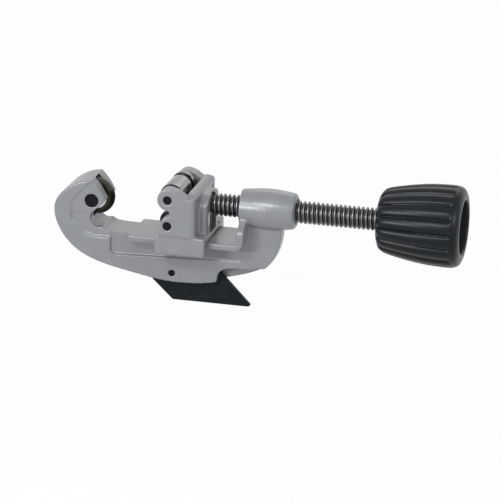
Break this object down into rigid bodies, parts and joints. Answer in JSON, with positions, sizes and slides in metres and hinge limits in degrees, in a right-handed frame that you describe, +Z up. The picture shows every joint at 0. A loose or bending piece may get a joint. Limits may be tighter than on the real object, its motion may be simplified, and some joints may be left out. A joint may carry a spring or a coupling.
{
  "type": "tube cutter",
  "caption": "Screw-feed tube cutter: cast frame with cutter wheel in its jaw, sliding roller carriage, fluted knob on the feed screw, and a reamer blade that folds into the frame.",
  "frame": {"origin": "centre of the held work, where its axis crosses the axis of the feed screw, with the jaw open for work of 22 mm", "axes": "+X along the feed screw towards the knob, +Y along the axis of the held work, away from the side that faces the camera, +Z up, out of the open side of the jaw"},
  "size_m": [0.1826, 0.0378, 0.0641],
  "materials": {
    "cast_paint": "satin grey paint over the casting",
    "wheel_steel": "ground tool steel",
    "bronze": "sintered bronze",
    "blacked": "blacked steel",
    "plated": "zinc plated",
    "roller_steel": "polished",
    "screw_steel": "dark rolled thread",
    "knob_plastic": "semi-gloss moulded plastic",
    "oxide": "black oxide"
  },
  "bodies": {
    "frame": {"frame": "cast_paint", "wheel_pin": "blacked", "wheel_pin_clip": "blacked", "wheel_washers": "plated", "reamer_pin": "blacked", "reamer_washers": "plated"},
    "wheel": {"cutter_wheel": "wheel_steel", "wheel_bush": "bronze"},
    "carriage": {"carriage": "cast_paint", "upper_roller_pin": "blacked", "lower_roller_pin": "blacked", "screw_retaining_pin": "blacked", "thrust_washer": "plated"},
    "upper_roller": {"upper_roller": "roller_steel", "upper_roller_bushes": "bronze"},
    "lower_roller": {"lower_roller": "roller_steel", "lower_roller_bushes": "bronze"},
    "screw": {"feed_screw": "screw_steel", "knob": "knob_plastic", "knob_washer": "plated", "knob_screw": "blacked"},
    "reamer": {"reamer": "oxide"}
  },
  "joints": [
    {"name": "carriage_feed", "type": "slide", "parent": "frame", "child": "carriage", "axis": [1, 0, 0], "range_m": [-0.0195, 0.012]},
    {"name": "screw_turn", "type": "hinge", "parent": "carriage", "child": "screw", "pos_m": [0.06, 0, 0], "axis": [1, 0, 0], "range_deg": [-3512, 2162]},
    {"name": "wheel_spin", "type": "hinge", "parent": "frame", "child": "wheel", "pos_m": [-0.022, 0, -0.001], "axis": [0, 1, 0], "continuous": true},
    {"name": "upper_roller_spin", "type": "hinge", "parent": "carriage", "child": "upper_roller", "pos_m": [0.0151, 0, 0.0054], "axis": [0, 1, 0], "continuous": true},
    {"name": "lower_roller_spin", "type": "hinge", "parent": "carriage", "child": "lower_roller", "pos_m": [0.0151, 0, -0.0064], "axis": [0, 1, 0], "continuous": true},
    {"name": "reamer_fold", "type": "hinge", "parent": "frame", "child": "reamer", "pos_m": [0.0145, 0, -0.0318], "axis": [0, 1, 0], "range_deg": [0, 180]}
  ],
  "couplings": [
    {"joint": "screw_turn", "follows": "carriage_feed", "rad_per_m": 3141.6}
  ]
}
